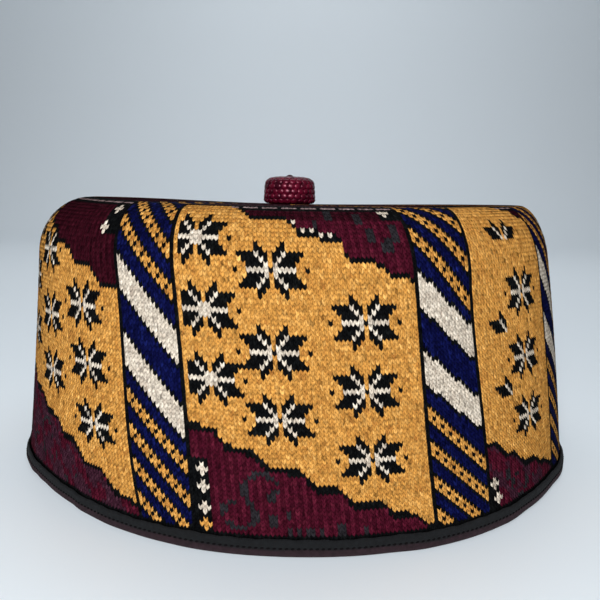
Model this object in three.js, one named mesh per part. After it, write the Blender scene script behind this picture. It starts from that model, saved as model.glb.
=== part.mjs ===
import * as THREE from "three";

// A knitted Hausa cap standing on its hem, in millimetres: a tapering wall, a soft
// shoulder, a nearly flat crown, a tape bound round the lower edge and a beaded knob.
// +Z is up, -Y the front and +X the right, with the origin under the middle of the hem.
// A bearing is measured in degrees from +X towards +Y, so the front is 270.

// Head opening, cloth and tape
const headCircumference = 570;
const knitThickness = 2.4;
const tapeThickness = 0.7;
const tapeHeight = 4.3;
const fitGap = 0.3;

// Outside of the knit
const wallHeight = 64.9;
const wallTaper = 8.5;
const shoulderAcross = 13;
const crownHeight = 79.6;
const crownRise = 0.3;
const crownLean = 2.4;
const edgeLift = 1.75;
const hemWander = 0.9;

// Gathers of the crown round its centre
const gatherCount = 16;
const gatherDepth = 0.7;
const gatherReach = 34;

// Knob and the place where it is sewn on
const knobDiameter = 18.1;
const knobHeight = 9.2;
const knobAside = 1.4;
const knobSquareness = 3.4;
const shankDiameter = 6;
const nubDiameter = 2.6;
const nubHeight = 0.7;

// How the soft top edge changes round the cap, its width and its lift as shares of
// shoulderAcross and edgeLift: wide and high on the left, tight on the right.
const topEdge = [
  { bearing: 0, across: 0.66, lift: 0.74 },
  { bearing: 90, across: 1, lift: 0 },
  { bearing: 180, across: 1.34, lift: 1 },
  { bearing: 270, across: 1, lift: 0 },
];

// How far the wall stands out from a true circle at the hem, as shares of hemWander.
const hemLine = [
  { bearing: 0, out: 0.5 },
  { bearing: 35, out: -0.5 },
  { bearing: 62, out: 0.4 },
  { bearing: 90, out: 0 },
  { bearing: 122, out: 0.3 },
  { bearing: 150, out: -0.6 },
  { bearing: 180, out: 0.5 },
  { bearing: 213, out: -1 },
  { bearing: 238, out: 0.5 },
  { bearing: 270, out: 0 },
  { bearing: 305, out: 0.6 },
  { bearing: 328, out: -1 },
];

// Steps of the mesh
const sidesRound = 80;
const wallSteps = 5;
const shoulderSteps = 7;
const crownSteps = 7;
const knobSides = 24;
const knobSteps = 12;

// Sizes that follow from those above
const wallSlope = Math.atan(wallTaper / wallHeight);
const knitAcross = knitThickness / Math.cos(wallSlope);
const hemRadius = headCircumference / (2 * Math.PI) + tapeThickness + fitGap + knitAcross;
const hemHeight = tapeThickness + fitGap;
const knobRadius = knobDiameter / 2;
const centreHeight = crownHeight + crownRise;
const holeRadius = shankDiameter / 2 + fitGap;
const knobCentreX = -crownLean - knobAside;

const radians = (degrees) => (degrees * Math.PI) / 180;
const mix = (from, to, share) => from + (to - from) * share;
const ease = (share) => (1 - Math.cos(Math.PI * share)) / 2;

// The value of a table's column at any bearing, eased from row to row right round.
function roundValue(table, column, bearing) {
  const turned = ((bearing % 360) + 360) % 360;
  const next = table.findIndex((row) => row.bearing > turned);
  const after = next < 0 ? table[0] : table[next];
  const before = next <= 0 ? table[table.length - 1] : table[next - 1];
  const span = (after.bearing - before.bearing + 360) % 360;
  const passed = (turned - before.bearing + 360) % 360;
  return mix(before[column], after[column], ease(passed / span));
}

// Radius of the outside of the wall, which narrows evenly while its wander fades out.
function wallRadius(bearing, height) {
  const share = height / wallHeight;
  const wander = hemWander * roundValue(hemLine, "out", bearing) * Math.max(0, 1 - share);
  return hemRadius - wallTaper * share + wander;
}

// The knit's outside or inside at one bearing, from the hem up the wall, over the
// shoulder and in across the crown. The shoulder is a quarter of an ellipse, sheared so
// that it leaves the wall at the wall's own slope. towardKnob goes from 0 at the crown's
// edge to 1 at the hole, and carries the rows over to the knob's own centre.
function knitRows(bearing, inside) {
  const wallInset = inside ? knitAcross : 0;
  const top = crownHeight + edgeLift * roundValue(topEdge, "lift", bearing) - (inside ? knitThickness : 0);
  const centre = centreHeight - (inside ? knitThickness : 0);
  const wallTop = hemRadius - wallTaper - wallInset;
  const across = shoulderAcross * roundValue(topEdge, "across", bearing) - wallInset;
  const leaning = (top - wallHeight) * Math.tan(wallSlope);
  const rows = [];
  for (let i = 0; i <= wallSteps; i++) {
    const height = mix(hemHeight, wallHeight, i / wallSteps);
    rows.push({ radius: wallRadius(bearing, height) - wallInset, height, towardKnob: 0 });
  }
  for (let i = 1; i <= shoulderSteps; i++) {
    const turn = radians((90 * i) / shoulderSteps);
    const inward = leaning * Math.sin(turn) + (across - leaning) * (1 - Math.cos(turn));
    const height = mix(wallHeight, top, Math.sin(turn));
    rows.push({ radius: wallTop - inward, height, towardKnob: 0 });
  }
  for (let i = 1; i <= crownSteps; i++) {
    const share = i / crownSteps;
    const radius = mix(wallTop - across, holeRadius, share);
    const height = mix(top, centre, ease(share)) - gatherDip(bearing, radius);
    rows.push({ radius, height, towardKnob: share });
  }
  return rows;
}

// Depth of the gathers, which run out from the knob's seat and fade at gatherReach.
function gatherDip(bearing, radius) {
  const share = (radius - knobRadius) / (gatherReach - knobRadius);
  if (share <= 0 || share >= 1) {
    return 0;
  }
  const fade = Math.sin(Math.PI * Math.sqrt(share)) ** 2;
  return gatherDepth * fade * (0.5 + 0.5 * Math.cos(radians(bearing * gatherCount)));
}

// A row of one bearing as a point in space, leaning to the left the higher it is.
function placeRow(row, bearing) {
  const lean = crownLean * (row.height / crownHeight) ** 2;
  const aside = knobAside * row.towardKnob;
  const x = row.radius * Math.cos(radians(bearing)) - lean - aside;
  const y = row.radius * Math.sin(radians(bearing));
  return [x, y, row.height];
}

// One closed body from a section at each bearing. A section is a closed loop of rows,
// first up its outer side, and the last row joins the first.
function roundBody(sectionAt) {
  const sections = [];
  for (let i = 0; i < sidesRound; i++) {
    const bearing = (360 * i) / sidesRound;
    sections.push(sectionAt(bearing).map((row) => placeRow(row, bearing)));
  }
  const rowCount = sections[0].length;
  const index = [];
  for (let i = 0; i < sidesRound; i++) {
    for (let j = 0; j < rowCount; j++) {
      const a = i * rowCount + j;
      const b = ((i + 1) % sidesRound) * rowCount + j;
      const c = ((i + 1) % sidesRound) * rowCount + ((j + 1) % rowCount);
      const d = i * rowCount + ((j + 1) % rowCount);
      index.push(a, b, c, a, c, d);
    }
  }
  const geometry = new THREE.BufferGeometry();
  geometry.setAttribute("position", new THREE.Float32BufferAttribute(sections.flat(2), 3));
  geometry.setIndex(index);
  geometry.computeVertexNormals();
  return geometry;
}

// The knitted body: wall, shoulder and crown in one, open below and at the knob's hole.
function makeShell() {
  return roundBody((bearing) => [
    ...knitRows(bearing, false),
    ...knitRows(bearing, true).reverse(),
  ]);
}

// The tape folded over the lower edge, a U whose foot is flat between rounded corners.
function makeBinding() {
  const outerReach = fitGap + tapeThickness;
  const foot = knitAcross + 2 * outerReach;
  const cornerRound = foot / 4;
  const legTop = tapeHeight;
  return roundBody((bearing) => {
    const at = (height, out) => ({ radius: wallRadius(bearing, height) + out, height, towardKnob: 0 });
    const innerReach = -knitAcross - outerReach;
    const corner = (out, side, turn) => at(
      cornerRound * (1 - Math.cos(radians(turn))),
      out + side * cornerRound * (Math.sin(radians(turn)) - 1),
    );
    return [
      corner(outerReach, 1, 0),
      corner(outerReach, 1, 45),
      corner(outerReach, 1, 90),
      at(legTop - tapeThickness / 2, outerReach),
      at(legTop, fitGap + tapeThickness / 2),
      at(legTop - tapeThickness / 2, fitGap),
      at(hemHeight - fitGap, fitGap),
      at(hemHeight - fitGap, -knitAcross - fitGap),
      at(legTop - tapeThickness / 2, -knitAcross - fitGap),
      at(legTop, innerReach + tapeThickness / 2),
      at(legTop - tapeThickness / 2, innerReach),
      corner(innerReach, -1, 90),
      corner(innerReach, -1, 45),
      corner(innerReach, -1, 0),
    ];
  });
}

// The knob: a squat barrel of a superellipse section, a shank below that fills the
// crown's hole, and a small nub on top.
function makeKnob() {
  const outline = [];
  const add = (radius, height) => outline.push(new THREE.Vector2(radius, height));
  add(0, -fitGap - knitThickness);
  add(shankDiameter / 2, -fitGap - knitThickness);
  add(shankDiameter / 2, 0);
  for (let i = 1; i < knobSteps; i++) {
    const turn = radians(mix(-90, 90, i / knobSteps));
    const round = 2 / knobSquareness;
    const radius = knobRadius * Math.cos(turn) ** round;
    const swing = Math.sign(Math.sin(turn)) * Math.abs(Math.sin(turn)) ** round;
    add(radius, (knobHeight * (1 + swing)) / 2);
  }
  add(nubDiameter / 2, knobHeight);
  add(nubDiameter / 2, knobHeight + nubHeight / 2);
  add(nubDiameter / 4, knobHeight + nubHeight);
  add(0, knobHeight + nubHeight);
  const geometry = new THREE.LatheGeometry(outline, knobSides);
  geometry.rotateX(Math.PI / 2);
  return geometry;
}

const cap = new THREE.Group();

function addPiece(name, geometry, color, roughness) {
  const material = new THREE.MeshStandardMaterial({ color, roughness, metalness: 0 });
  const mesh = new THREE.Mesh(geometry, material);
  mesh.name = name;
  cap.add(mesh);
  return mesh;
}

addPiece("knit_shell", makeShell(), 0xc99544, 0.85);
addPiece("hem_binding", makeBinding(), 0x3a3c3f, 0.8);
const knob = addPiece("crown_knob", makeKnob(), 0x6b1230, 0.45);
knob.position.set(knobCentreX, 0, centreHeight + fitGap);

export default cap;
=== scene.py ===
import math
import bmesh
import bpy
import numpy as np
from mathutils import Matrix, Vector


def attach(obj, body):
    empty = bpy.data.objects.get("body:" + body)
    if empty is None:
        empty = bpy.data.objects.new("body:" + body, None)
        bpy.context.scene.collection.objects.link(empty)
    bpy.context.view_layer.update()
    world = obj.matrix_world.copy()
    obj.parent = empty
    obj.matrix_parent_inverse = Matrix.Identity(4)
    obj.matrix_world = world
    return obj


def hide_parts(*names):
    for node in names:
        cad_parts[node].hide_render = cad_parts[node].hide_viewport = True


# A knitted cap with a patterned wall, a bound lower edge and a beaded knob.
# Sizes are in millimetres and become metres where a mesh is made. Bearings are degrees
# from +X towards +Y, so the front is 270.

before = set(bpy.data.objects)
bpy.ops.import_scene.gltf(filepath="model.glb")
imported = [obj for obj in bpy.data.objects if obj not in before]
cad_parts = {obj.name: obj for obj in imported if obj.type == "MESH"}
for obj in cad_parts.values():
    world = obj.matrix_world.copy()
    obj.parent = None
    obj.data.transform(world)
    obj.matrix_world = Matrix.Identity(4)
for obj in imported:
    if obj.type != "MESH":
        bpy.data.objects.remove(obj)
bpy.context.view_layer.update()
mm = 0.001


def linear(red, green, blue, alpha=1.0):
    # screen colour 0..255 to linear: ((c + 0.055) / 1.055) ^ 2.4, or c / 12.92 when dark
    shades = np.array([red, green, blue]) / 255
    bright = np.where(shades <= 0.04045, shades / 12.92, ((shades + 0.055) / 1.055) ** 2.4)
    return (*bright.tolist(), alpha)


def eased(share):
    # (1 - cos(pi t)) / 2, slow at both ends
    return (1 - np.cos(np.pi * share)) / 2


# The form of the knitted body, as the frame has it
form = {
    "headRound": 570,  # round the head, inside the tape
    "thickness": 2.4,
    "tape": 0.7,
    "gap": 0.3,
    "wallHeight": 64.9,
    "taper": 8.5,
    "shoulderAcross": 13,
    "crownHeight": 79.6,
    "crownRise": 0.3,
    "lean": 2.4,
    "edgeLift": 1.75,
    "hemWander": 0.9,
    "gathers": 16,
    "gatherDepth": 0.7,
    "gatherReach": 34,
    "knobWidth": 18.1,
    "knobAside": 1.4,
    "holeRadius": 3.3,
}
topAcross = [(0, 0.66), (90, 1), (180, 1.34), (270, 1)]  # bearing, share of shoulderAcross
topLift = [(0, 0.74), (90, 0), (180, 1), (270, 0)]  # bearing, share of edgeLift
# bearing, share of hemWander: the frame's line round the back, and in front a closer one
# with the slight corners that the hem has at its left and right ends
hemLine = [
    (0, -0.6), (35, -0.5), (62, 0.4), (90, 0), (122, 0.3), (150, -0.6),
    (180, -0.5), (192, -1.5), (200, -1.4), (207, -0.1), (213, -0.33), (217, -1.05), (221, -1.5),
    (230, -1.6), (234, -0.95), (242, -0.35), (250, -0.07), (256, 0.2), (270, 0), (283, 0.3),
    (290, 1.1), (297, 1.15), (305, 0.9), (313, -0.12), (323, -0.6), (329, 0), (334, -0.3),
    (342, -1.8), (350, -1.7),
]
slope = form["taper"] / form["wallHeight"]
knitAcross = form["thickness"] / math.cos(math.atan(slope))
hemRadius = form["headRound"] / (2 * math.pi) + form["tape"] + form["gap"] + knitAcross
hemHeight = form["tape"] + form["gap"]


def aroundValue(rows, bearing):
    # value = a + (b - a)(1 - cos(pi t)) / 2, with t the share of the way from row a to row b
    at = np.array([row[0] for row in rows] + [rows[0][0] + 360.0])
    value = np.array([row[1] for row in rows] + [rows[0][1]], float)
    turned = np.mod(bearing, 360)
    k = np.clip(np.searchsorted(at, turned, side="right") - 1, 0, len(rows) - 1)
    share = (turned - at[k]) / (at[k + 1] - at[k])
    return value[k] + (value[k + 1] - value[k]) * eased(share)


def placed(bearing, radius, height, towardKnob=0):
    # x = r cos b - lean (h / crown)^2 - aside k, y = r sin b, z = h
    leaning = form["lean"] * (height / form["crownHeight"]) ** 2
    x = radius * np.cos(np.radians(bearing)) - leaning - form["knobAside"] * towardKnob
    y = radius * np.sin(np.radians(bearing))
    return np.stack(np.broadcast_arrays(x, y, height), axis=-1)


def bodyAt(bearing, along, inside=False):
    # along 0..1 is the wall, r = hem - taper a + wander (1 - a)^3; 1..2 the shoulder, a quarter
    # ellipse r = top - [l sin t + (w - l)(1 - cos t)], h = wall + rise sin t; 2..3 the crown,
    # straight in to the hole with the gathers' dips
    inset = knitAcross if inside else 0
    down = form["thickness"] if inside else 0
    wall = np.clip(along, 0, 1)
    turn = np.clip(along - 1, 0, 1) * np.pi / 2
    share = np.clip(along - 2, 0, 1)
    top = form["crownHeight"] + form["edgeLift"] * aroundValue(topLift, bearing) - down
    across = form["shoulderAcross"] * aroundValue(topAcross, bearing) - inset
    leaning = (top - form["wallHeight"]) * slope
    wander = form["hemWander"] * aroundValue(hemLine, bearing) * (1 - wall) ** 3
    wallRadius = hemRadius - inset - form["taper"] * wall + wander
    radius = wallRadius - leaning * np.sin(turn) - (across - leaning) * (1 - np.cos(turn))
    height = form["wallHeight"] * wall + (top - form["wallHeight"]) * np.sin(turn)
    inner = radius + (form["holeRadius"] - radius) * share
    centre = form["crownHeight"] + form["crownRise"] - down
    level = top + (centre - top) * eased(share) - gatherDip(bearing, inner)
    onCrown = along > 2
    return placed(bearing, np.where(onCrown, inner, radius), np.where(onCrown, level, height), share)


def gatherDip(bearing, radius):
    # depth sin^2(pi sqrt s)(1 + cos(n b)) / 2, with s from the knob's edge to the gathers' reach
    seat = form["knobWidth"] / 2
    share = np.clip((radius - seat) / (form["gatherReach"] - seat), 0, 1)
    fade = np.sin(np.pi * np.sqrt(share)) ** 2
    return form["gatherDepth"] * fade * (0.5 + 0.5 * np.cos(np.radians(bearing * form["gathers"])))


def gridNormals(points):
    # outward direction from the grid's own differences: d(row) x d(column), closed round the columns
    alongRows = np.gradient(points, axis=0)
    around = (np.roll(points, -1, axis=1) - np.roll(points, 1, axis=1)) / 2
    normal = np.cross(around, alongRows)
    return normal / np.maximum(np.linalg.norm(normal, axis=-1, keepdims=True), 1e-12)


def ringFaces(rows, columns, outward=True, loop=False):
    # quads of a grid that closes round its columns, and also along its rows if it is a loop
    i, j = np.mgrid[0:rows if loop else rows - 1, 0:columns]
    k, above = (j + 1) % columns, (i + 1) % rows
    quad = np.stack([i * columns + j, i * columns + k, above * columns + k, above * columns + j], -1)
    quad = quad.reshape(-1, 4)
    return quad if outward else quad[:, ::-1]


def closePoles(piece):
    # joins the points that lie on one another where a grid runs together
    shape = bmesh.new()
    shape.from_mesh(piece.data)
    bmesh.ops.remove_doubles(shape, verts=shape.verts, dist=1e-6)
    shape.to_mesh(piece.data)
    shape.free()


def added(name, data):
    # a new object with this data, in the scene
    made = bpy.data.objects.new(name, data)
    bpy.context.scene.collection.objects.link(made)
    return made


def meshObject(name, points, faces, material):
    # a smooth mesh from whole arrays: points in mm, and each face as the numbers of its points
    mesh = bpy.data.meshes.new(name)
    points = np.asarray(points, float).reshape(-1, 3) * mm
    faces = np.asarray(faces, np.int32)
    mesh.vertices.add(len(points))
    mesh.vertices.foreach_set("co", points.ravel())
    mesh.loops.add(faces.size)
    mesh.loops.foreach_set("vertex_index", faces.ravel())
    mesh.polygons.add(len(faces))
    mesh.polygons.foreach_set("loop_start", np.arange(len(faces), dtype=np.int32) * faces.shape[1])
    mesh.polygons.foreach_set("use_smooth", np.ones(len(faces), bool))
    mesh.update(calc_edges=True)
    mesh.materials.append(material)
    return added(name, mesh)


def meshPiece(name, points, faces, material, node):
    # a mesh that shows in place of the frame's node, which is hidden
    piece = meshObject(name, points, faces, material)
    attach(piece, "root")
    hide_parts(node)
    return piece


def addMap(piece, name, cornerPlaces):
    # a UV map, with one place for each corner of each face
    layer = piece.data.uv_layers.new(name=name)
    layer.data.foreach_set("uv", np.asarray(cornerPlaces, np.float32).ravel())


def addColour(piece, name, faceColours):
    # one colour for each face, given to its four corners
    corners = np.repeat(np.asarray(faceColours, np.float32), 4, axis=0)
    rgba = np.concatenate([corners, np.ones((len(corners), 1), np.float32)], axis=1)
    layer = piece.data.color_attributes.new(name=name, type="FLOAT_COLOR", domain="CORNER")
    layer.data.foreach_set("color", rgba.ravel())


# The knitted pattern. A wale is one column of stitches and a course one row. Wales are
# counted round the cap from the left edge of the band left of the front panel.
gold, maroon, navy, cream, black, charcoal, shadedMaroon, ash, smoke = range(9)
yarns = {  # main colour of a yarn, its lightest strands and its darkest
    gold: ((170, 120, 56), (222, 172, 100), (116, 62, 26)),
    maroon: ((62, 13, 28), (92, 32, 46), (28, 6, 14)),
    navy: ((6, 8, 44), (22, 31, 92), (3, 4, 22)),
    cream: ((178, 167, 152), (214, 204, 190), (116, 96, 82)),
    black: ((8, 9, 10), (24, 26, 26), (3, 3, 4)),
    charcoal: ((31, 29, 32), (46, 44, 48), (14, 13, 15)),
    # painted shade: a darker copy of the maroon, for the maroon above the gold and on the crown, where
    # less light falls
    shadedMaroon: ((44, 8, 18), (72, 24, 36), (20, 4, 10)),  # the maroon above the gold
    smoke: ((47, 22, 33), (70, 44, 54), (20, 9, 15)),  # maroon and charcoal together
    ash: ((126, 106, 106), (182, 162, 158), (62, 46, 48)),  # the thin line round the crown's edge
}
chart = {
    "courses": 78,  # hem to the crown's edge
    "spread": 0.147,  # how much shorter the bottom course is than the mean one
    "bandWales": 17,
    "outlineAbove": 1,  # courses of black between the gold and the maroon above it
    "outlineBelow": 1.6,
    "stripeTop": 63,  # course of the upper cream stripe at a band's left edge
    "chainEvery": 8,
}
# panels to the right of each band, with the band's stripes that many courses up and how
# many courses the cream stripes fall in a wale
panels = [
    ("wide", 0, 1.0), ("narrow", -2, 0.82), ("wide", 2, 0.9), ("wide", 0, 0.95),
    ("wide", -1, 1.0), ("narrow", 0, 0.9), ("wide", -2, 0.85), ("left", 0, 0.95),
]
panelWales = {"wide": 55, "narrow": 34, "left": 55}

# One flower from its middle column outwards, rows from the top down: K black, W cream
flowerChart = [
    "...K.....",
    "..KK.....",
    ".KKWKKKK.",
    ".KWKKKK..",
    ".WKKKK...",
    "KWWWWW..K",
    ".WKKKK...",
    ".KWKKKK..",
    ".KKWKKKK.",
    "..KK.....",
    "...K.....",
]
# flowers of a panel: middle wale, middle course, and for a part of one the rows from the
# top and the wales right of the middle that are kept
flowers = {
    "wide": [(5, 67), (6, 53), (6, 39), (22, 61), (21, 45), (21, 31), (42, 51), (41, 37), (41, 22)],
    "narrow": [(20, 55), (19, 40), (19, 25), (15, 66, 5, 8), (12, 46, 5, 0), (12, 31, 5, 0)],
    "left": [(6, 68), (6, 55), (6, 41), (23, 62), (23, 47), (23, 33), (41, 51), (42, 38), (43, 24)],
}
creamHearts = {"wide": 10, "narrow": 0, "left": 0}  # flowers left of this wale have a cream heart
# where the gold ends above and below: wale, course
goldTop = {
    "wide": [
        (0, 77.5), (12.5, 77.1), (17.1, 73.8), (18.7, 72), (27, 72), (29.8, 67.6), (38.2, 67.4),
        (39.8, 63.4), (45.4, 63.1), (49.4, 60.3), (51.4, 59.9), (55, 59.4),
    ],
    "narrow": [(0, 78), (20.8, 78), (24.1, 75.2), (28.5, 74.7), (30.7, 71.8), (34, 71.4)],
    "left": [
        (0, 73.3), (11.4, 73.3), (17.6, 67.9), (24.9, 67.1), (30.6, 63.8), (36.3, 63.3), (39.4, 60.2),
        (45.7, 59.5), (49.2, 55.9), (55, 55.9),
    ],
}
goldBottom = {
    "wide": [
        (0, 29.6), (6.2, 29.4), (8.8, 25.6), (14.2, 24.9), (17.6, 21.4), (24.9, 20.9), (28, 16.9),
        (33.2, 16.7), (36.3, 13.1), (43.1, 12.9), (45.1, 10), (50.3, 9.3), (54.5, 5.6), (55, 5.2),
    ],
    "narrow": [
        (0, 22.3), (3.3, 22.1), (6.4, 18.6), (10.7, 18), (15, 14.1), (20.8, 13.7), (24.5, 11.2),
        (28.5, 10.5), (32.9, 8), (34, 7.8),
    ],
    "left": [
        (0, 31), (6.2, 30.8), (8.8, 27), (15, 26.3), (18.4, 22.8), (25.7, 22.3), (28.5, 18.8),
        (33.7, 18.6), (37.8, 14.5), (44.6, 14.3), (48.5, 9.7), (53.7, 9), (55, 8),
    ],
}
# black strips beside a band, below one course at its right side and above one at its left
stripBelow = {"wide": 22, "narrow": 13, "left": 0}
stripWide = {"wide": 4, "narrow": 3, "left": 4}  # wales of the lower strip
stripAbove = {"wide": 71.5, "narrow": 78, "left": 66.5}
# first and last wale with light dots over the outline, painted highlights for glare on its stitches; 99
# is none
glintDots = {"wide": (28, 37), "narrow": (99, 99), "left": (99, 99)}
# small crosses on those strips: middle wale, middle course, yarn
crosses = {
    "wide": [(2, 19, cream), (2, 15, cream), (2, 10, cream), (2, 6, gold), (51, 74, cream)],
    "narrow": [(1, 11, cream), (2, 7, cream)],
    "left": [(50, 68, cream), (52, 73, cream), (53, 76, cream)],
}
# charcoal marks on the maroon: two broken rings, and plain spots
curlCharts = [
    [
        "...CCCC..",
        "..CC..CC.",
        ".C......C",
        "CC.......",
        "CC.....CC",
        "CC....CC.",
        ".C....CC.",
        ".CC......",
        "..C......",
    ],
    [
        "..CC.....",
        "CC.....C.",
        "CC.....CC",
        "C......CC",
        ".......CC",
        ".CC...CC.",
        "..CCCC...",
    ],
]
curls = {  # which ring, its middle wale and course
    "wide": [(0, 15, 15), (1, 10, 9)],
    "narrow": [(1, 12, 8)],
    "left": [(0, 16, 15), (1, 10, 9)],
}
spots = {  # left wale, lowest course, wales, courses
    "wide": [
        (17, 7, 2, 3), (21, 9, 1, 2), (21, 3, 1, 4), (23, 4, 1, 3), (25, 5, 2, 2), (28, 4, 1, 3),
        (32, 5, 2, 3), (38, 4, 1, 3), (12, 14, 1, 2), (45, 67, 2, 3), (48, 65, 3, 2), (49, 67, 2, 1),
        (51, 67, 2, 4), (43, 71, 2, 3), (36, 72, 2, 3), (33, 70, 1, 2),
    ],
    "narrow": [(6, 11, 2, 3), (19, 6, 1, 3), (22, 4, 2, 2)],
    "left": [(18, 7, 2, 3), (22, 9, 1, 3), (26, 5, 2, 2), (32, 6, 2, 3), (38, 4, 1, 3)],
}
# painted shade: from this course up, the maroon above the gold takes its darker copy, for the little
# light on the cap's top and left side
shadedMaroonFrom = {"wide": 72, "narrow": 72, "left": 0}  # course above which the upper maroon is darker
blotchLevel = {"wide": 9, "narrow": 0.3, "left": -0.1}  # smoke where the waves stand higher; 9 is never
edging = {
    "topCourse": 77,  # the last course on the wall, with a dashed line under it
    "dash": 5,  # wales from dash to dash
    "footCourses": 5,  # black courses at the tape
    "stripWales": 5,  # width of the upper black strip
}
stripes = {  # rows down from a band's upper cream stripe
    "cream": [(0, 6), (16, 22)],
    "plain": (-5, 26),  # navy without chains
    "lowerChains": 20,  # chains below this row are set lower by lowerShift rows
    "lowerShift": 5,
}


def bandYarn(wale, rowsDown, wales, steep):
    # diagonal stripes: the chains follow d = rows down - wales in from the edge, the cream
    # stripes d = rows down - steep times the wales in
    d = rowsDown - (wale - 1)
    every = chart["chainEvery"]
    shifted = np.where(d > stripes["lowerChains"], d - stripes["lowerShift"], d)
    fromChain = np.mod(shifted + every // 2, every) - every // 2
    yarn = np.where(np.abs(fromChain) == 2, black, navy)
    solid = (np.abs(fromChain) == 1) | ((fromChain == 0) & (wale % 2 == 1))
    yarn = np.where(solid, gold, np.where(fromChain == 0, black, yarn))
    first, last = stripes["plain"]
    yarn = np.where((d >= first) & (d <= last), navy, yarn)
    d = rowsDown - np.round(steep * (wale - 1))
    for low, high in stripes["cream"]:
        yarn = np.where((d >= low) & (d <= high), cream, yarn)
        yarn = np.where((d == low - 1) | (d == high + 1), black, yarn)
    return np.where((wale == 0) | (wale == wales - 1), black, yarn)


def flowerYarn(kind, wale, course):
    # gold with the panel's flowers, each one the half chart mirrored about its middle wale
    yarn = np.full(wale.shape, gold)
    half = np.array([[".KW".index(mark) for mark in row] for row in flowerChart])
    rows, reach = half.shape
    for middle, level, *part in flowers[kind]:
        keptRows, keptRight = part or (rows, reach)
        across = np.abs(wale - middle)
        down = level - course + rows // 2
        near = (across < reach) & (down >= 0) & (down < keptRows) & (wale > 0)
        near &= wale - middle <= keptRight
        mark = half[np.where(near, down, 0), np.where(near, across, 0)] * near
        yarn = np.where(mark == 1, black, np.where(mark == 2, cream, yarn))
        heart = (across < 2) & (np.abs(course - level) < 2) & (middle < creamHearts[kind])
        yarn = np.where(heart, cream, yarn)
    return yarn


def curlMark(which, across, down):
    # true on the marks of a broken ring, from the steps right of its middle and below it
    ring = np.array([[mark == "C" for mark in row] for row in curlCharts[which]])
    rows, wales = ring.shape
    across, down = across + wales // 2, down + rows // 2
    near = (across >= 0) & (across < wales) & (down >= 0) & (down < rows)
    return near & ring[np.where(near, down, 0), np.where(near, across, 0)]


def markedYarn(kind, wale, course, yarn):
    # puts the charcoal rings and spots on the maroon
    for which, at, level in curls[kind]:
        mark = curlMark(which, wale - at, level - course)
        yarn = np.where(mark & (yarn == maroon), charcoal, yarn)
    for left, low, wide, tall in spots[kind]:
        mark = (wale >= left) & (wale < left + wide) & (course >= low) & (course < low + tall)
        yarn = np.where(mark & np.isin(yarn, (maroon, shadedMaroon)), charcoal, yarn)
    return yarn


def panelYarn(kind, wale, course):
    # flowers on gold up to its stepped edges, then the black outline and the maroon; smoke
    # lies where sin(w / 2) sin(0.6 c + 1) + sin(1.1 w + 0.9 c) / 2 is over the blotch level
    middle = course + 0.5
    above = middle - np.interp(wale + 0.5, *zip(*goldTop[kind]))
    below = np.interp(wale + 0.5, *zip(*goldBottom[kind])) - middle
    past = np.maximum(above, below)
    # painted shade: the maroon above the gold is painted darker from the set course up
    field = np.where((above > 0) & (course >= shadedMaroonFrom[kind]), shadedMaroon, maroon)
    outline = np.where(above > 0, chart["outlineAbove"], chart["outlineBelow"])
    yarn = np.where(past > 0, black, flowerYarn(kind, wale, course))
    yarn = np.where(past > outline, field, yarn)
    # painted highlights: a row of light dots on the black outline stands for glare on its stitches
    first, last = glintDots[kind]
    paintedGlints = (above > 1) & (above <= 2) & (wale >= first) & (wale <= last)
    yarn = np.where(paintedGlints, np.where(wale % 2 == 0, cream, black), yarn)
    waves = np.sin(0.5 * wale) * np.sin(0.6 * course + 1) + 0.5 * np.sin(1.1 * wale + 0.9 * course)
    yarn = np.where((waves > blotchLevel[kind]) & (below > 0) & (yarn == maroon), smoke, yarn)
    yarn = markedYarn(kind, wale, course, yarn)
    fromRight = panelWales[kind] - wale
    lower = (wale < stripWide[kind]) & (course < stripBelow[kind])
    upper = (fromRight <= edging["stripWales"]) & (course > stripAbove[kind])
    yarn = np.where((past > 0) & (lower | upper), black, yarn)
    for at, level, colour in crosses[kind]:
        yarn = np.where(np.abs(wale - at) + np.abs(course - level) < 2, colour, yarn)
    yarn = np.where((above > 0) & (course >= edging["topCourse"] - 2), black, yarn)
    dashed = (above > 0) & (course == edging["topCourse"] - 1) & (wale % edging["dash"] > 0)
    return np.where(dashed, ash, yarn)


def yarnChart():
    # the yarn of each stitch: rows are courses up from the hem, columns are wales
    bands = chart["bandWales"]
    parts = []
    for kind, lift, steep in panels:
        course, wale = np.mgrid[0:chart["courses"], 0:bands]
        band = bandYarn(wale, chart["stripeTop"] + lift - 1 - course, bands, steep)
        course, wale = np.mgrid[0:chart["courses"], 0:panelWales[kind]]
        parts += [band, panelYarn(kind, wale, course)]
    yarn = np.concatenate(parts, axis=1)
    yarn[:edging["footCourses"]] = black
    return yarn


# Where the lines between wales run: the wale, and its bearing at four heights
lineHeights = [0, 0.5, 0.8, 1]  # shares of the way from the hem to the crown's edge
waleLines = [
    (0, 247.3, 241.5, 239.1, 235.8),
    (17, 256.2, 253.1, 251.2, 249.8),
    (72, 291.7, 290.0, 289.6, 289.3),
    (89, 302.6, 301.3, 301.3, 303.2),
    (123, 324.9, 324.6, 324.1, 323.9),
    (479, 566.5, 562.3, 559.9, 557.3),
    (491, 578.4, 572.0, 568.5, 565.7),
]
stitchGrid = {
    "firstCourse": 1,  # the lowest course that is made
    "zigzag": 0.5,  # how far a leg climbs across half a wale, in courses
    "groove": 0.22,  # how deep the lines between wales lie
    "loose": 0.045,  # how far a point of the grid strays
    "tone": 0.12,  # how much the stitches of one yarn differ
    "legTone": 0.13,  # and the two legs of a stitch
    # painted shade: a share of the legs is darkened to gapShade, as if they lay in a shaded gap between
    # stitches
    "gapShare": 0.02,  # share of legs that lie in a dark gap
    "gapShade": 0.5,
    "rib": 0.35,  # how much darker every second wale of maroon is
    "seed": 7,
    "bakeStrips": 3,  # strips that the round of stitches is cut into on the bake map
    "bakeMargin": 0.01,
}


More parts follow.
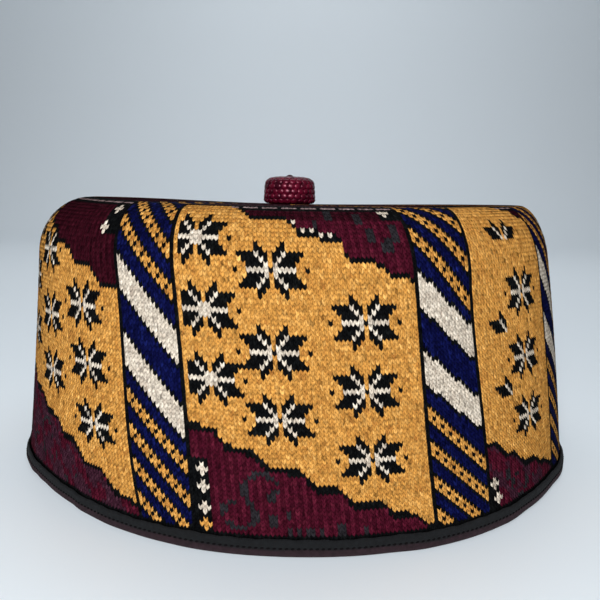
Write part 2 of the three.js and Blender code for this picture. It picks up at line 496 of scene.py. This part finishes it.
def waleBearing(wale, share):
    # straight between the named lines, and a cubic through their four heights
    rows = np.array(waleLines, float)
    at = np.append(rows[:, 0], waleCount)
    cubic = np.polyfit(lineHeights, np.vstack([rows[:, 1:], rows[:1, 1:] + 360]).T, 3)
    power = share[..., None] ** np.arange(3, -1, -1)
    edges = power @ cubic
    k = np.clip(np.searchsorted(at, wale, side="right") - 1, 0, len(at) - 2)
    step = (wale - at[k]) / (at[k + 1] - at[k])
    low = np.take_along_axis(edges, k, axis=-1)
    high = np.take_along_axis(edges, k + 1, axis=-1)
    return low + (high - low) * step


colours = yarnChart()
waleCount = colours.shape[1]
print("chart:", waleCount, "wales by", chart["courses"], "courses")


def courseShare(course):
    # share of the way up = (1 - k) q + k q^2, q = c / n: the courses get taller evenly
    q = course / chart["courses"]
    return (1 - chart["spread"]) * q + chart["spread"] * q ** 2


def courseOf(share):
    # the other way round: c = n (sqrt((1 - k)^2 + 4 k share) - (1 - k)) / 2 k
    spread = chart["spread"]
    root = np.sqrt((1 - spread) ** 2 + 4 * spread * share)
    return chart["courses"] * (root - 1 + spread) / (2 * spread)


lengthSteps = 801  # points that a length is measured over


def frontLength():
    # length along the front from the hem, for along = 0..2
    along = np.linspace(0, 2, lengthSteps)
    points = bodyAt(np.full_like(along, 270.0), along)
    steps = np.linalg.norm(np.diff(points, axis=0), axis=1)
    return along, np.concatenate([[0], np.cumsum(steps)])


def makeWall(material):
    # two quads for each stitch, its left and right leg; the course lines zigzag between them
    along, length = frontLength()
    first = stitchGrid["firstCourse"]
    rows = chart["courses"] - first + 1
    columns = waleCount * 2
    row, column = np.mgrid[0:rows, 0:columns]
    side = np.where(column % 2 == 0, 0.5, -0.5)  # +0.5 on the lines between wales
    inner = (row > 0) & (row < rows - 1)
    course = row + first + stitchGrid["zigzag"] * side * inner
    share = np.clip(courseShare(course), 0, 1)
    place = np.interp(share * length[-1], length, along)
    place = np.maximum(place, hemHeight / form["wallHeight"])
    bearing = waleBearing(np.broadcast_to(column / 2, share.shape)[..., None], share)[..., 0]
    points = bodyAt(bearing, place)
    depth = stitchGrid["groove"] * (side > 0) * inner
    points -= gridNormals(points) * depth[..., None]
    random = np.random.default_rng(stitchGrid["seed"] + 1)
    points += random.uniform(-1, 1, points.shape) * stitchGrid["loose"] * inner[..., None]
    faces = ringFaces(rows, columns)
    piece = meshPiece("knitWall", points, faces, material, "knit_shell")
    dress(piece, colours[first:], rows, columns, 2)
    return piece, bearing[-1]


def yarnTones(yarn, stitch, turn):
    # colour of each leg: its yarn's main colour, moved toward the light or the dark one by
    # tone times a normal draw for the stitch and legTone times one for the leg
    random = np.random.default_rng(stitchGrid["seed"])
    shades = np.array([[linear(*tone)[:3] for tone in yarns[k]] for k in sorted(yarns)])
    main, light, dark = shades.transpose(1, 0, 2)
    ofStitch = random.standard_normal(yarn.shape)[turn]
    tone = stitchGrid["tone"] * ofStitch + stitchGrid["legTone"] * random.standard_normal(stitch.shape)
    tone = np.clip(tone, -1, 1)[..., None]
    lighter, darker = np.maximum(tone, 0), np.maximum(-tone, 0)
    strand = main[stitch] * (1 - lighter - darker) + light[stitch] * lighter + dark[stitch] * darker
    # painted shade: a few random legs darkened as if they lay in a gap between stitches
    paintedShade = np.where(random.random(stitch.shape) < stitchGrid["gapShare"], stitchGrid["gapShade"], 1)
    ribbed = np.isin(stitch, (maroon, shadedMaroon)) & (turn[1] % 2 == 1)
    return strand * (paintedShade * np.where(ribbed, 1 - stitchGrid["rib"], 1))[..., None]


def dress(piece, yarn, rows, columns, perWale, widths=None, flip=False):
    # stitch map: whole numbers are the lines between wales and courses; a colour for each
    # leg; and a bake map, with the stitches in a few long strips
    i, j = np.mgrid[0:rows - 1, 0:columns]
    u = np.stack([j, j + 1, j + 1, j], -1) / (perWale if widths is None else widths[..., None])
    v = np.stack([i, i, i + 1, i + 1], -1)
    order = [3, 2, 1, 0] if flip else [0, 1, 2, 3]
    addMap(piece, "stitches", np.stack([u, v], -1)[:, :, order])
    turn = (i, j // perWale)
    addColour(piece, "yarn", yarnTones(yarn, yarn[turn], turn).reshape(-1, 3))
    strips, margin = stitchGrid["bakeStrips"], stitchGrid["bakeMargin"]
    turned = j / columns * strips
    strip = np.minimum(np.floor(turned), strips - 1)
    x = (turned - strip) + np.array([0, 1, 1, 0])[:, None, None] * strips / columns
    row = (i + np.array([0, 0, 1, 1])[:, None, None]) / (rows - 1)
    y = (strip + row * (1 - 2 * margin) + margin) / strips
    place = np.stack([x * (1 - 2 * margin) + margin, y], -1).transpose(1, 2, 0, 3)
    addMap(piece, "OFBake", place[:, :, order])


def nodeMaker(material):
    # three short helpers that make and join a material's nodes
    nodes, links = material.node_tree.nodes, material.node_tree.links

    def feed(socket, value):
        if isinstance(value, bpy.types.NodeSocket):
            links.new(value, socket)
        else:
            socket.default_value = value

    def calc(operation, *values, clamp=False):
        made = nodes.new("ShaderNodeMath")
        made.operation = operation
        made.use_clamp = clamp
        for k, value in enumerate(values):
            feed(made.inputs[k], value)
        return made.outputs[0]

    def node(kind, settings=None, **values):
        made = nodes.new(kind)
        for key, value in (settings or {}).items():
            setattr(made, key, value)
        for key, value in values.items():
            feed(made.inputs[key], value)
        return made

    return feed, calc, node


def newMaterial(name, roughness, specular):
    # a material and its shader, matt or glossy
    material = bpy.data.materials.new(name)
    material.use_nodes = True
    shader = material.node_tree.nodes["Principled BSDF"]
    shader.inputs["Roughness"].default_value = roughness
    shader.inputs["Specular IOR Level"].default_value = specular
    return material, shader


knitLook = {
    "roughness": 0.6,
    "specular": 0.01,
    "relief": 0.0004,
    # painted shade in the holes between stitches: how much their colour is darkened
    "holeShade": 0.95,  # how dark the holes between stitches are
    "grain": 2.1,
    "grainScale": 1300.0,
}


def knitMaterial():
    # each leg is a round strand: s = sqrt(1 - (2v - 1)^2), w = |2u - 1|^4 between wales and
    # m = (1 - |2u - 1|)^4 inside a stitch; height = (0.3 + 0.7 s)(1 - 0.5 w - 0.25 m), and
    # the holes at the corners of the stitches are darkened with painted shade: (1 - s)^2 (w + m / 2 +
    # 0.15)
    material, shader = newMaterial("knittedYarn", knitLook["roughness"], knitLook["specular"])
    feed, calc, node = nodeMaker(material)
    stitches = node("ShaderNodeUVMap", {"uv_map": "stitches"})
    apart = node("ShaderNodeSeparateXYZ", Vector=stitches.outputs[0])
    across = calc("FRACT", apart.outputs[0])
    up = calc("FRACT", apart.outputs[1])
    fromMiddle = calc("MULTIPLY", calc("ABSOLUTE", calc("SUBTRACT", across, 0.5)), 2.0)
    swing = calc("SUBTRACT", calc("MULTIPLY", up, 2.0), 1.0)
    strand = calc("SQRT", calc("SUBTRACT", 1.0, calc("MULTIPLY", swing, swing), clamp=True))
    between = calc("POWER", fromMiddle, 4.0)
    within = calc("POWER", calc("SUBTRACT", 1.0, fromMiddle, clamp=True), 4.0)
    ridge = calc("ADD", calc("MULTIPLY", strand, 0.7), 0.3)
    dip = calc("ADD", calc("MULTIPLY", between, 0.5), calc("MULTIPLY", within, 0.25))
    height = calc("MULTIPLY", ridge, calc("SUBTRACT", 1.0, dip))
    bump = node("ShaderNodeBump", Height=height)
    bump.inputs["Strength"].default_value = 1.0
    bump.inputs["Distance"].default_value = knitLook["relief"]
    yarn = node("ShaderNodeAttribute", {"attribute_name": "yarn"})
    places = node("ShaderNodeTexCoord").outputs["Object"]
    grain = node("ShaderNodeTexNoise", Vector=places, Scale=knitLook["grainScale"])
    # painted shade: the base colour is darkened in the holes at the stitches' corners
    low = calc("SUBTRACT", 1.0, strand)
    corner = calc("ADD", calc("ADD", between, calc("MULTIPLY", within, 0.5)), 0.15)
    hole = calc("MULTIPLY", calc("MULTIPLY", low, low), corner, clamp=True)
    paintedShade = calc("SUBTRACT", 1.0, calc("MULTIPLY", hole, knitLook["holeShade"]))
    fleck = calc("MULTIPLY", calc("SUBTRACT", grain.outputs[0], 0.5), knitLook["grain"])
    tint = node("ShaderNodeVectorMath", {"operation": "SCALE"})
    feed(tint.inputs[0], yarn.outputs["Color"])
    feed(tint.inputs["Scale"], calc("MULTIPLY", paintedShade, calc("ADD", 1.0, fleck)))
    feed(shader.inputs["Base Color"], tint.outputs[0])
    feed(shader.inputs["Normal"], bump.outputs[0])
    return material


crown = {
    "rings": 60,
    "zones": [(0, 2), (25, 4), (45, 8)],  # first ring of a zone, and columns to a stitch there
    "swirl": 22,  # degrees that the wales turn on their way in
    "swirlPower": 1.5,
    "goldRings": 1,  # how far the gold comes over the edge
    "blackRings": {"wide": 2, "narrow": 12, "left": 2},  # black inside the gold or the dashed line
    "marks": [(0, 15, 19), (1, 38, 22)],  # charcoal ring, its wale and ring on a wide panel
}


def crownYarn(ring, perWale):
    # the pattern goes on over the crown with fewer wales: the bands keep their stripes and
    # maroon darkened with painted shade runs in between them, behind a black ring
    parts = []
    fewer = perWale // 2
    for kind, lift, steep in panels:
        wales = chart["bandWales"] // fewer
        course, wale = np.broadcast_arrays(chart["courses"] + ring[:, None], np.arange(wales)[None])
        rowsDown = chart["stripeTop"] + lift - 1 - course
        band = np.repeat(bandYarn(wale, rowsDown, wales, steep), fewer, axis=1)
        spare = chart["bandWales"] - band.shape[1]
        parts.append(np.pad(band, ((0, 0), (0, spare)), mode="edge"))
        wale = np.arange(panelWales[kind])[None] // fewer * fewer
        at, wale = np.broadcast_arrays(ring[:, None], wale)
        over = np.interp(wale + 0.5, *zip(*goldTop[kind])) > chart["courses"] - 1
        # painted shade: the crown's maroon is the darker copy, for the little light on the crown
        yarn = np.where(at < crown["goldRings"] + crown["blackRings"][kind], black, shadedMaroon)
        yarn = np.where(over & (at < crown["goldRings"]), gold, yarn)
        for which, middle, level in crown["marks"] if kind != "narrow" else []:
            yarn = np.where(curlMark(which, wale - middle, level - at), charcoal, yarn)
        parts.append(yarn)
    return np.concatenate(parts, axis=1)


def makeCrown(material, edgeBearing):
    # rings run in from the shoulder's end to the hole under the knob; the line of each
    # column turns by swirl s^1.5 on the way, s = 0 at the edge and 1 at the hole
    rows, columns = crown["rings"] + 1, waleCount * 2
    ring, column = np.mgrid[0:rows, 0:columns]
    firsts = [first for first, perWale in crown["zones"]]
    zone = np.clip(np.searchsorted(firsts, ring, side="right") - 1, 0, len(firsts) - 1)
    perWale = np.array([width for first, width in crown["zones"]])[zone]
    across = np.abs(np.mod(column / perWale, 1) - 0.5) * 2  # 1 on the lines between wales
    inner = ~np.isin(ring, firsts + [crown["rings"]])
    share = (ring + stitchGrid["zigzag"] * (across - 0.5) * inner) / crown["rings"]
    bearing = edgeBearing[None] - crown["swirl"] * np.clip(share, 0, 1) ** crown["swirlPower"]
    points = bodyAt(bearing, 2 + np.clip(share, 0, 1))
    depth = stitchGrid["groove"] * across ** 2 * inner
    points[..., 2] -= depth
    faces = ringFaces(rows, columns)
    piece = meshPiece("knitCrown", points, faces, material, "knit_shell")
    yarn = np.zeros((crown["rings"], waleCount), int)
    ends = firsts[1:] + [crown["rings"]]
    for first, last, (start, width) in zip(firsts, ends, crown["zones"]):
        yarn[first:last] = crownYarn(np.arange(first, last), width)
    dress(piece, yarn, rows, columns, 2, perWale[:-1])
    return piece


insideRows = {"wall": 44, "crown": 26}


def makeInside(material):
    # the wrong side of the knit, with rims that meet the outside at the hem and at the hole
    along, length = frontLength()
    columns = waleCount
    share = np.linspace(hemHeight / length[-1], 1, insideRows["wall"])
    wallPart = np.interp(share * length[-1], length, along)
    crownPart = 2 + np.linspace(0, 1, insideRows["crown"])[1:]
    place = np.concatenate([wallPart, crownPart])[:, None] * np.ones((1, columns))
    wale = np.broadcast_to(np.arange(columns, dtype=float), place.shape)
    lineShare = np.clip(np.interp(place, along, length) / length[-1], 0, 1)
    turn = crown["swirl"] * np.clip(place - 2, 0, 1) ** crown["swirlPower"]
    bearing = waleBearing(wale[..., None], lineShare)[..., 0] - turn
    points = bodyAt(bearing, place, inside=True)
    rims = [bodyAt(bearing[k], place[k]) for k in (0, -1)]
    points = np.concatenate([rims[0][None], points, rims[1][None]])
    count = len(points)
    faces = ringFaces(count, columns, outward=False)
    piece = meshPiece("knitInside", points, faces, material, "knit_shell")
    course = np.clip(courseOf(lineShare[:-1, 0]).astype(int), 0, chart["courses"] - 1)
    yarn = colours[course]
    yarn = np.concatenate([yarn[:1], yarn, yarn[-1:]])
    dress(piece, yarn, count, columns, 1, flip=True)
    return piece


binding = {
    "height": 4.3,
    "thickness": 0.7,
    "bulge": 0.12,
    "faceSlack": 0.01,  # points this near the full reach are on a face
    "columns": 720,
    "cornerSteps": 7,
    "faceSteps": 12,
    "stitches": 420,
    "stitchHeight": 2.35,
    "stitchLong": 1.0,
    "stitchWide": 0.5,
    "stitchThick": 0.28,
    "stitchSunk": 0.02,
    "stitchSlant": 0.12,
    "seamDepth": 0.16,  # how deep the line of stitches pulls the tape in
    "seamWidth": 0.35,
    "edgeWander": 0.24,
    "edgeWaves": [(23, 0), (58, 1), (131, 2)],  # waves round the cap, and where each one starts
}


def wallOut(bearing, height):
    # radius of the knit's outside: hem - taper h / wall + wander (1 - h / wall)^3
    share = height / form["wallHeight"]
    wander = form["hemWander"] * aroundValue(hemLine, bearing) * (1 - share) ** 3
    return hemRadius - form["taper"] * share + wander


def makeBinding(material):
    # a U section carried round the hem: two legs, each a rounded strip, and a foot between
    # them; the outer face swells by bulge sin(pi h / height) and dips where it is stitched,
    # and the upper edges wander by edgeWander (h / height)^3 times three mean sines
    reach = form["gap"] + binding["thickness"]
    corner = (knitAcross + 2 * reach) / 4
    half = binding["thickness"] / 2
    top = binding["height"] - half
    turn = np.linspace(0, np.pi / 2, binding["cornerSteps"])
    up = np.linspace(corner, top, binding["faceSteps"])[1:]
    tip = np.linspace(0, np.pi, binding["cornerSteps"])[1:]
    outHeight = np.concatenate([
        corner * (1 - np.cos(turn)), up, top + half * np.sin(tip), [hemHeight - form["gap"]],
    ])
    outReach = np.concatenate([
        reach + corner * (np.sin(turn) - 1), np.full(up.shape, reach),
        form["gap"] + half + half * np.cos(tip), [form["gap"]],
    ])
    height = np.concatenate([outHeight, outHeight[::-1]])
    out = np.concatenate([outReach, -knitAcross - outReach[::-1]])
    side = out + knitAcross / 2
    swell = binding["bulge"] * np.sin(np.pi * np.clip(height / binding["height"], 0, 1))
    seam = np.exp(-((height - binding["stitchHeight"]) / binding["seamWidth"]) ** 2)
    face = np.abs(side) > knitAcross / 2 + reach - binding["faceSlack"]
    out = out + np.sign(side) * face * (swell - binding["seamDepth"] * seam)
    bearing = np.arange(binding["columns"]) * 360 / binding["columns"]
    turns = np.radians(bearing)
    wander = sum(np.sin(waves * turns + start) for waves, start in binding["edgeWaves"])
    wander = binding["edgeWander"] * wander / len(binding["edgeWaves"])
    level = height[:, None] + wander * (height[:, None] / binding["height"]) ** 3
    points = placed(bearing[None], wallOut(bearing[None], level) + out[:, None], level)
    faces = ringFaces(len(height), binding["columns"], loop=True)
    piece = meshPiece("hemTape", points, faces, material, "hem_binding")
    i, j = np.mgrid[0:len(height), 0:binding["columns"]]
    u = np.stack([j, j + 1, j + 1, j], -1) * 360 / binding["columns"]
    v = np.stack([level, level, np.roll(level, -1, axis=0), np.roll(level, -1, axis=0)], -1)
    addMap(piece, "tape", np.stack([u, v], -1))


def ellipsoids(middle, axes, sides=8, steps=6):
    # one egg for each middle: p = m + a cos u cos v + b sin u cos v + c sin v
    rise = np.linspace(-np.pi / 2, np.pi / 2, steps + 1)
    v, u = np.meshgrid(rise, np.arange(sides) * 2 * np.pi / sides, indexing="ij")
    unit = np.stack([np.cos(u) * np.cos(v), np.sin(u) * np.cos(v), np.sin(v)], -1).reshape(-1, 3)
    points = middle[:, None] + np.einsum("pk,nkx->npx", unit, axes)
    faces = ringFaces(steps + 1, sides)
    count = len(unit)
    faces = faces[None] + (np.arange(len(middle)) * count)[:, None, None]
    return points.reshape(-1, 3), faces.reshape(-1, 4)


def makeStitching(material):
    # a running stitch round the tape's outer face, each one an egg laid along the tape
    bearing = np.arange(binding["stitches"]) * 360 / binding["stitches"]
    height = np.full(bearing.shape, binding["stitchHeight"])
    reach = form["gap"] + binding["thickness"]
    middle = placed(bearing, wallOut(bearing, height) + reach - binding["stitchSunk"], height)
    turn = np.radians(bearing)
    flat = np.zeros_like(turn)
    along = np.stack([-np.sin(turn), np.cos(turn), flat + binding["stitchSlant"]], -1)
    along = along * binding["stitchLong"] / 2
    out = np.stack([np.cos(turn), np.sin(turn), flat], -1) * binding["stitchThick"]
    up = np.stack([flat, flat, flat + 1], -1) * binding["stitchWide"] / 2
    points, faces = ellipsoids(middle, np.stack([out, along, up], 1), sides=6, steps=4)
    piece = meshPiece("hemStitching", points, faces, material, "hem_binding")
    closePoles(piece)


knob = {
    "width": 18.1,
    "height": 9.45,
    "squareness": 4.4,
    "footSquareness": 9,
    "taper": 0.03,  # how much wider the foot is than the middle, as a share
    "base": 79.95,
    "x": -3.8,
    "bead": 2.35,  # distance from bead to bead in a row
    "beadWide": 0.58,  # half a bead's width, as a share of that distance
    "rowStep": 1.7,
    "beadTall": 0.64,  # half a bead's height, as a share of rowStep
    "beadThick": 0.45,
    "beadLift": 0.05,
    "beadProud": 0.42,
    "slopeStep": 0.2,
    "firstBead": 5.2,  # radius of the lowest row under the foot
    "lastBead": 1.4,  # length from the top row to the nub's middle
    "shank": 3,
    "shankLength": 2.7,
    "shankClear": 0.1,
    "sides": 48,
    "steps": 40,
    "measures": 1000,  # points over which each half of the outline is measured
    "topFlat": 1.6,  # radius of the flat middle of the core's top
    "nub": 2.6,
    "nubHeight": 0.8,
    "nubSunk": 0.1,
}


def knobOutline(turn):
    # superellipse: r = R cos(t)^(2/n) (1 - taper rise), rise = sin(t)^(2/n), h = H/2 (1 + rise),
    # t from -90 to 90 degrees, less the beads' height over it
    power = 2 / np.where(turn < 0, knob["footSquareness"], knob["squareness"])
    rise = np.sign(np.sin(turn)) * np.abs(np.sin(turn)) ** power
    radius = (knob["width"] / 2 - knob["beadProud"]) * np.cos(turn) ** power
    radius = radius * (1 - knob["taper"] * rise)
    half = knob["height"] / 2
    return radius, knob["base"] + half + (half - knob["beadProud"]) * rise


def makeKnobCore(material):
    # the padded core turned round its own middle, from the shank's foot up to the flat top
    turn = np.linspace(-np.pi / 2, np.pi / 2, knob["steps"] + 1)
    radius, height = knobOutline(turn)
    foot, top, under = knob["base"] - knob["shankLength"], height.max(), height[0]
    keep = radius > knob["shank"] + knob["shankClear"]
    radius = np.concatenate([[0, knob["shank"], knob["shank"]], radius[keep], [knob["topFlat"], 0]])
    height = np.concatenate([[foot, foot, under], height[keep], [top, top]])
    spin = np.radians(np.arange(knob["sides"]) * 360 / knob["sides"])[None]
    points = np.stack([
        knob["x"] + radius[:, None] * np.cos(spin), radius[:, None] * np.sin(spin),
        height[:, None] + 0 * spin,
    ], -1)
    faces = ringFaces(len(radius), knob["sides"])
    closePoles(meshPiece("knobCore", points, faces, material, "crown_knob"))


def makeKnobBeads(material):
    # an egg for each bead, in rows rowStep apart along the outline; every second row is
    # turned by half a bead, and a bead's axes are its row, the outline and its normal
    half = knob["measures"]
    radius, height = knobOutline(np.linspace(-np.pi / 2, np.pi / 2, 2 * half + 1))
    length = np.concatenate([[0], np.cumsum(np.hypot(np.diff(radius), np.diff(height)))])
    start = np.interp(knob["firstBead"], radius[:half], length[:half])
    step = knob["slopeStep"]
    middles, axes = [], []
    for k, stop in enumerate(np.arange(start, length[-1] - knob["lastBead"], knob["rowStep"])):
        r, before, after = np.interp([stop, stop - step, stop + step], length, radius)
        h, lower, higher = np.interp([stop, stop - step, stop + step], length, height)
        lean = np.hypot(after - before, higher - lower)
        outward, rising = (after - before) / lean, (higher - lower) / lean
        count = max(int(round(2 * np.pi * r / knob["bead"])), 3)
        spin = (np.arange(count) + 0.5 * (k % 2)) * 2 * np.pi / count
        radial = np.stack([np.cos(spin), np.sin(spin), 0 * spin], -1)
        around = np.stack([-np.sin(spin), np.cos(spin), 0 * spin], -1)
        upward = radial * outward + np.array([0, 0, rising])
        out = radial * rising - np.array([0, 0, outward])
        middles.append(radial * r + np.array([knob["x"], 0, h]) + out * knob["beadLift"])
        axes.append(np.stack([
            around * knob["bead"] * knob["beadWide"], upward * knob["rowStep"] * knob["beadTall"],
            out * knob["beadThick"],
        ], 1))
    points, faces = ellipsoids(np.concatenate(middles), np.concatenate(axes), sides=8, steps=6)
    closePoles(meshPiece("knobBeads", points, faces, material, "crown_knob"))


def makeKnobNub(material):
    # one flat egg on the top
    top = np.array([[knob["x"], 0, knob["base"] + knob["height"] - knob["nubSunk"]]])
    axes = np.diag([knob["nub"] / 2, knob["nub"] / 2, knob["nubHeight"]])[None]
    points, faces = ellipsoids(top, axes, sides=16, steps=10)
    closePoles(meshPiece("knobNub", points, faces, material, "crown_knob"))


tapeLook = {
    "upper": linear(25, 27, 30),
    "lower": linear(54, 36, 43),
    "turn": 2.1,  # height where the upper colour starts
    "blend": 0.25,  # half the height over which the colours change
    "patchScale": 60.0,
    "patchReach": 1.4,  # how far patches move that height
    "fuzzScale": 900.0,
    "fuzzLow": 0.3,
    "fuzzAdds": 1.4,
    "ribs": 4.5,  # ribs to a degree round the cap
    "crossRibs": 3.2,  # and to a millimetre up
    "roughness": 0.9,
    "specular": 0.2,
    "relief": 0.0003,
}


def tapeMaterial():
    # charcoal above the stitches and brownish below, with a fine weave sin(a u) sin(b v)
    # plus fuzz as its relief
    material, shader = newMaterial("hemTapeCloth", tapeLook["roughness"], tapeLook["specular"])
    feed, calc, node = nodeMaker(material)
    onTape = node("ShaderNodeUVMap", {"uv_map": "tape"})
    apart = node("ShaderNodeSeparateXYZ", Vector=onTape.outputs[0])
    places = node("ShaderNodeTexCoord").outputs["Object"]
    fuzz = node("ShaderNodeTexNoise", Vector=places, Scale=tapeLook["fuzzScale"], Detail=3.0)
    patch = node("ShaderNodeTexNoise", Vector=places, Scale=tapeLook["patchScale"], Detail=2.0)
    moved = calc("MULTIPLY", calc("SUBTRACT", patch.outputs[0], 0.5), tapeLook["patchReach"])
    level = calc("ADD", apart.outputs[1], moved)
    above = calc("SUBTRACT", level, tapeLook["turn"] - tapeLook["blend"])
    above = calc("MULTIPLY", above, 0.5 / tapeLook["blend"], clamp=True)
    mix = node("ShaderNodeMix", {"data_type": "RGBA"})
    feed(mix.inputs[0], above)
    mix.inputs[6].default_value = tapeLook["lower"]
    mix.inputs[7].default_value = tapeLook["upper"]
    tint = node("ShaderNodeVectorMath", {"operation": "SCALE"})
    feed(tint.inputs[0], mix.outputs[2])
    lighter = calc("MULTIPLY", fuzz.outputs[0], tapeLook["fuzzAdds"])
    feed(tint.inputs["Scale"], calc("ADD", tapeLook["fuzzLow"], lighter))
    feed(shader.inputs["Base Color"], tint.outputs[0])
    rib = calc("SINE", calc("MULTIPLY", apart.outputs[0], 2 * math.pi * tapeLook["ribs"]))
    cross = calc("SINE", calc("MULTIPLY", apart.outputs[1], 2 * math.pi * tapeLook["crossRibs"]))
    weave = calc("ADD", calc("MULTIPLY", rib, cross), fuzz.outputs[0])
    bump = node("ShaderNodeBump", Height=weave)
    bump.inputs["Distance"].default_value = tapeLook["relief"]
    feed(shader.inputs["Normal"], bump.outputs[0])
    return material


speckles = {  # two colours by a noise, and the levels of it where each is full
    "hemThread": {
        "colours": (linear(4, 4, 5), linear(15, 12, 14)), "levels": (0, 1),
        "scale": 700.0, "detail": 2.0,
        "roughness": 0.9, "specular": 0.05, "shine": linear(255, 255, 255),
    },
    "crimsonBeads": {
        "colours": (linear(42, 2, 14), linear(86, 9, 31)), "levels": (0.3, 0.75),
        "scale": 420.0, "detail": 1.0,
        "roughness": 0.26, "specular": 0.45, "shine": linear(255, 170, 190),
    },
    "knobThread": {
        "colours": (linear(26, 2, 10), linear(54, 6, 20)), "levels": (0, 1),
        "scale": 800.0, "detail": 3.0,
        "roughness": 0.8, "specular": 0.1, "shine": linear(255, 255, 255),
    },
}


def speckledMaterial(name):
    # dark to light by a noise that is fine for thread and as large as a bead for the beads
    look = speckles[name]
    material, shader = newMaterial(name, look["roughness"], look["specular"])
    feed, calc, node = nodeMaker(material)
    places = node("ShaderNodeTexCoord").outputs["Object"]
    noise = node("ShaderNodeTexNoise", Vector=places, Scale=look["scale"], Detail=look["detail"])
    ramp = node("ShaderNodeValToRGB", Fac=noise.outputs[0])
    for stop, level, colour in zip(ramp.color_ramp.elements, look["levels"], look["colours"]):
        stop.position = level
        stop.color = colour
    feed(shader.inputs["Base Color"], ramp.outputs[0])
    shader.inputs["Specular Tint"].default_value = look["shine"]
    return material


knitted = knitMaterial()
wall, crownBearing = makeWall(knitted)
print("wall:", len(wall.data.polygons), "quads")
top = makeCrown(knitted, crownBearing)
print("crown:", len(top.data.polygons), "quads")
inside = makeInside(knitted)
print("inside:", len(inside.data.polygons), "quads")
makeBinding(tapeMaterial())
makeStitching(speckledMaterial("hemThread"))
print("binding and its stitches")
knobThread = speckledMaterial("knobThread")
makeKnobCore(knobThread)
makeKnobBeads(speckledMaterial("crimsonBeads"))
makeKnobNub(knobThread)
print("knob and its beads")

# Camera, floor and light
view = {
    "place": (0.76, -220.0, 81.0),
    "down": 11.43,  # degrees below level
    "roll": 1.043,  # degrees, clockwise
    "focal": 600.3,  # pixels, in a picture 600 wide
    "middle": (300, 322.4),  # pixel on the lens axis
    "picture": 600,
    "sensor": 36,
    "nearest": 0.01,
}


def makeCamera():
    # lens = sensor x focal / picture; looks along (0, cos down, -sin down), turned by roll
    data = bpy.data.cameras.new("camera")
    data.sensor_width = view["sensor"]
    data.lens = view["focal"] / view["picture"] * data.sensor_width
    data.shift_x = (view["picture"] / 2 - view["middle"][0]) / view["picture"]
    data.shift_y = (view["middle"][1] - view["picture"] / 2) / view["picture"]
    data.clip_start = view["nearest"]
    camera = added("camera", data)
    down, roll = math.radians(view["down"]), math.radians(view["roll"])
    right, up = Vector((1, 0, 0)), Vector((0, math.sin(down), math.cos(down)))
    ahead = Vector((0, math.cos(down), -math.sin(down)))
    turnedRight = right * math.cos(roll) + up * math.sin(roll)
    turnedUp = up * math.cos(roll) - right * math.sin(roll)
    axes = Matrix((turnedRight, turnedUp, -ahead)).transposed().to_4x4()
    camera.matrix_world = Matrix.Translation(Vector(view["place"]) * mm) @ axes
    bpy.context.scene.camera = camera


floorForm = {
    "colour": linear(226, 235, 242),
    "roughness": 0.45,
    "specular": 0.5,
    "halfWidth": 3000,
    "front": -1500,
    "bendAt": 900,
    "bendRadius": 900,
    "top": 3000,
    "steps": 24,
}


def makeFloor():
    # flat in front, then y = bend + r sin t, z = r (1 - cos t) up into a pale backdrop
    material, shader = newMaterial("paleFloor", floorForm["roughness"], floorForm["specular"])
    shader.inputs["Base Color"].default_value = floorForm["colour"]
    turn = np.linspace(0, math.pi / 2, floorForm["steps"])
    bend, radius = floorForm["bendAt"], floorForm["bendRadius"]
    y = np.concatenate([[floorForm["front"]], bend + radius * np.sin(turn), [bend + radius]])
    z = np.concatenate([[0], radius * (1 - np.cos(turn)), [floorForm["top"]]])
    x = np.array([-1, 1]) * floorForm["halfWidth"]
    points = np.stack([np.repeat(x, len(y)), np.tile(y, 2), np.tile(z, 2)], -1)
    k = np.arange(len(y) - 1)
    faces = np.stack([k, k + len(y), k + 1 + len(y), k + 1], -1)
    floor = meshObject("floor", points, faces, material)


lamps = [  # name, place in mm, where it points, size in mm, watts
    ("window", (-130, -820, 410), (0, 0, 40), 420, 9.2),
    ("roomFront", (0, -950, 200), (0, 0, 40), 500, 4),
    ("overhead", (100, 300, 1000), (0, 0, 40), 900, 1),
    ("backdrop", (0, 500, 1200), (0, 1500, 300), 900, 8),
]
roomLight = {"colour": linear(232, 238, 244), "strength": 0.15}


def makeLight():
    # square lamps turned toward what they light, and a weak even light from all round
    for name, place, aim, size, power in lamps:
        data = bpy.data.lights.new(name, "AREA")
        data.size = size * mm
        data.energy = power
        lamp = added(name, data)
        lamp.location = Vector(place) * mm
        toward = Vector(aim) * mm - lamp.location
        lamp.rotation_euler = toward.to_track_quat("-Z", "Y").to_euler()
    world = bpy.data.worlds.new("room")
    bpy.context.scene.world = world
    world.use_nodes = True
    background = world.node_tree.nodes["Background"]
    background.inputs[0].default_value = roomLight["colour"]
    background.inputs[1].default_value = roomLight["strength"]


makeCamera()
makeFloor()
makeLight()
bpy.context.scene.view_settings.view_transform = "Standard"
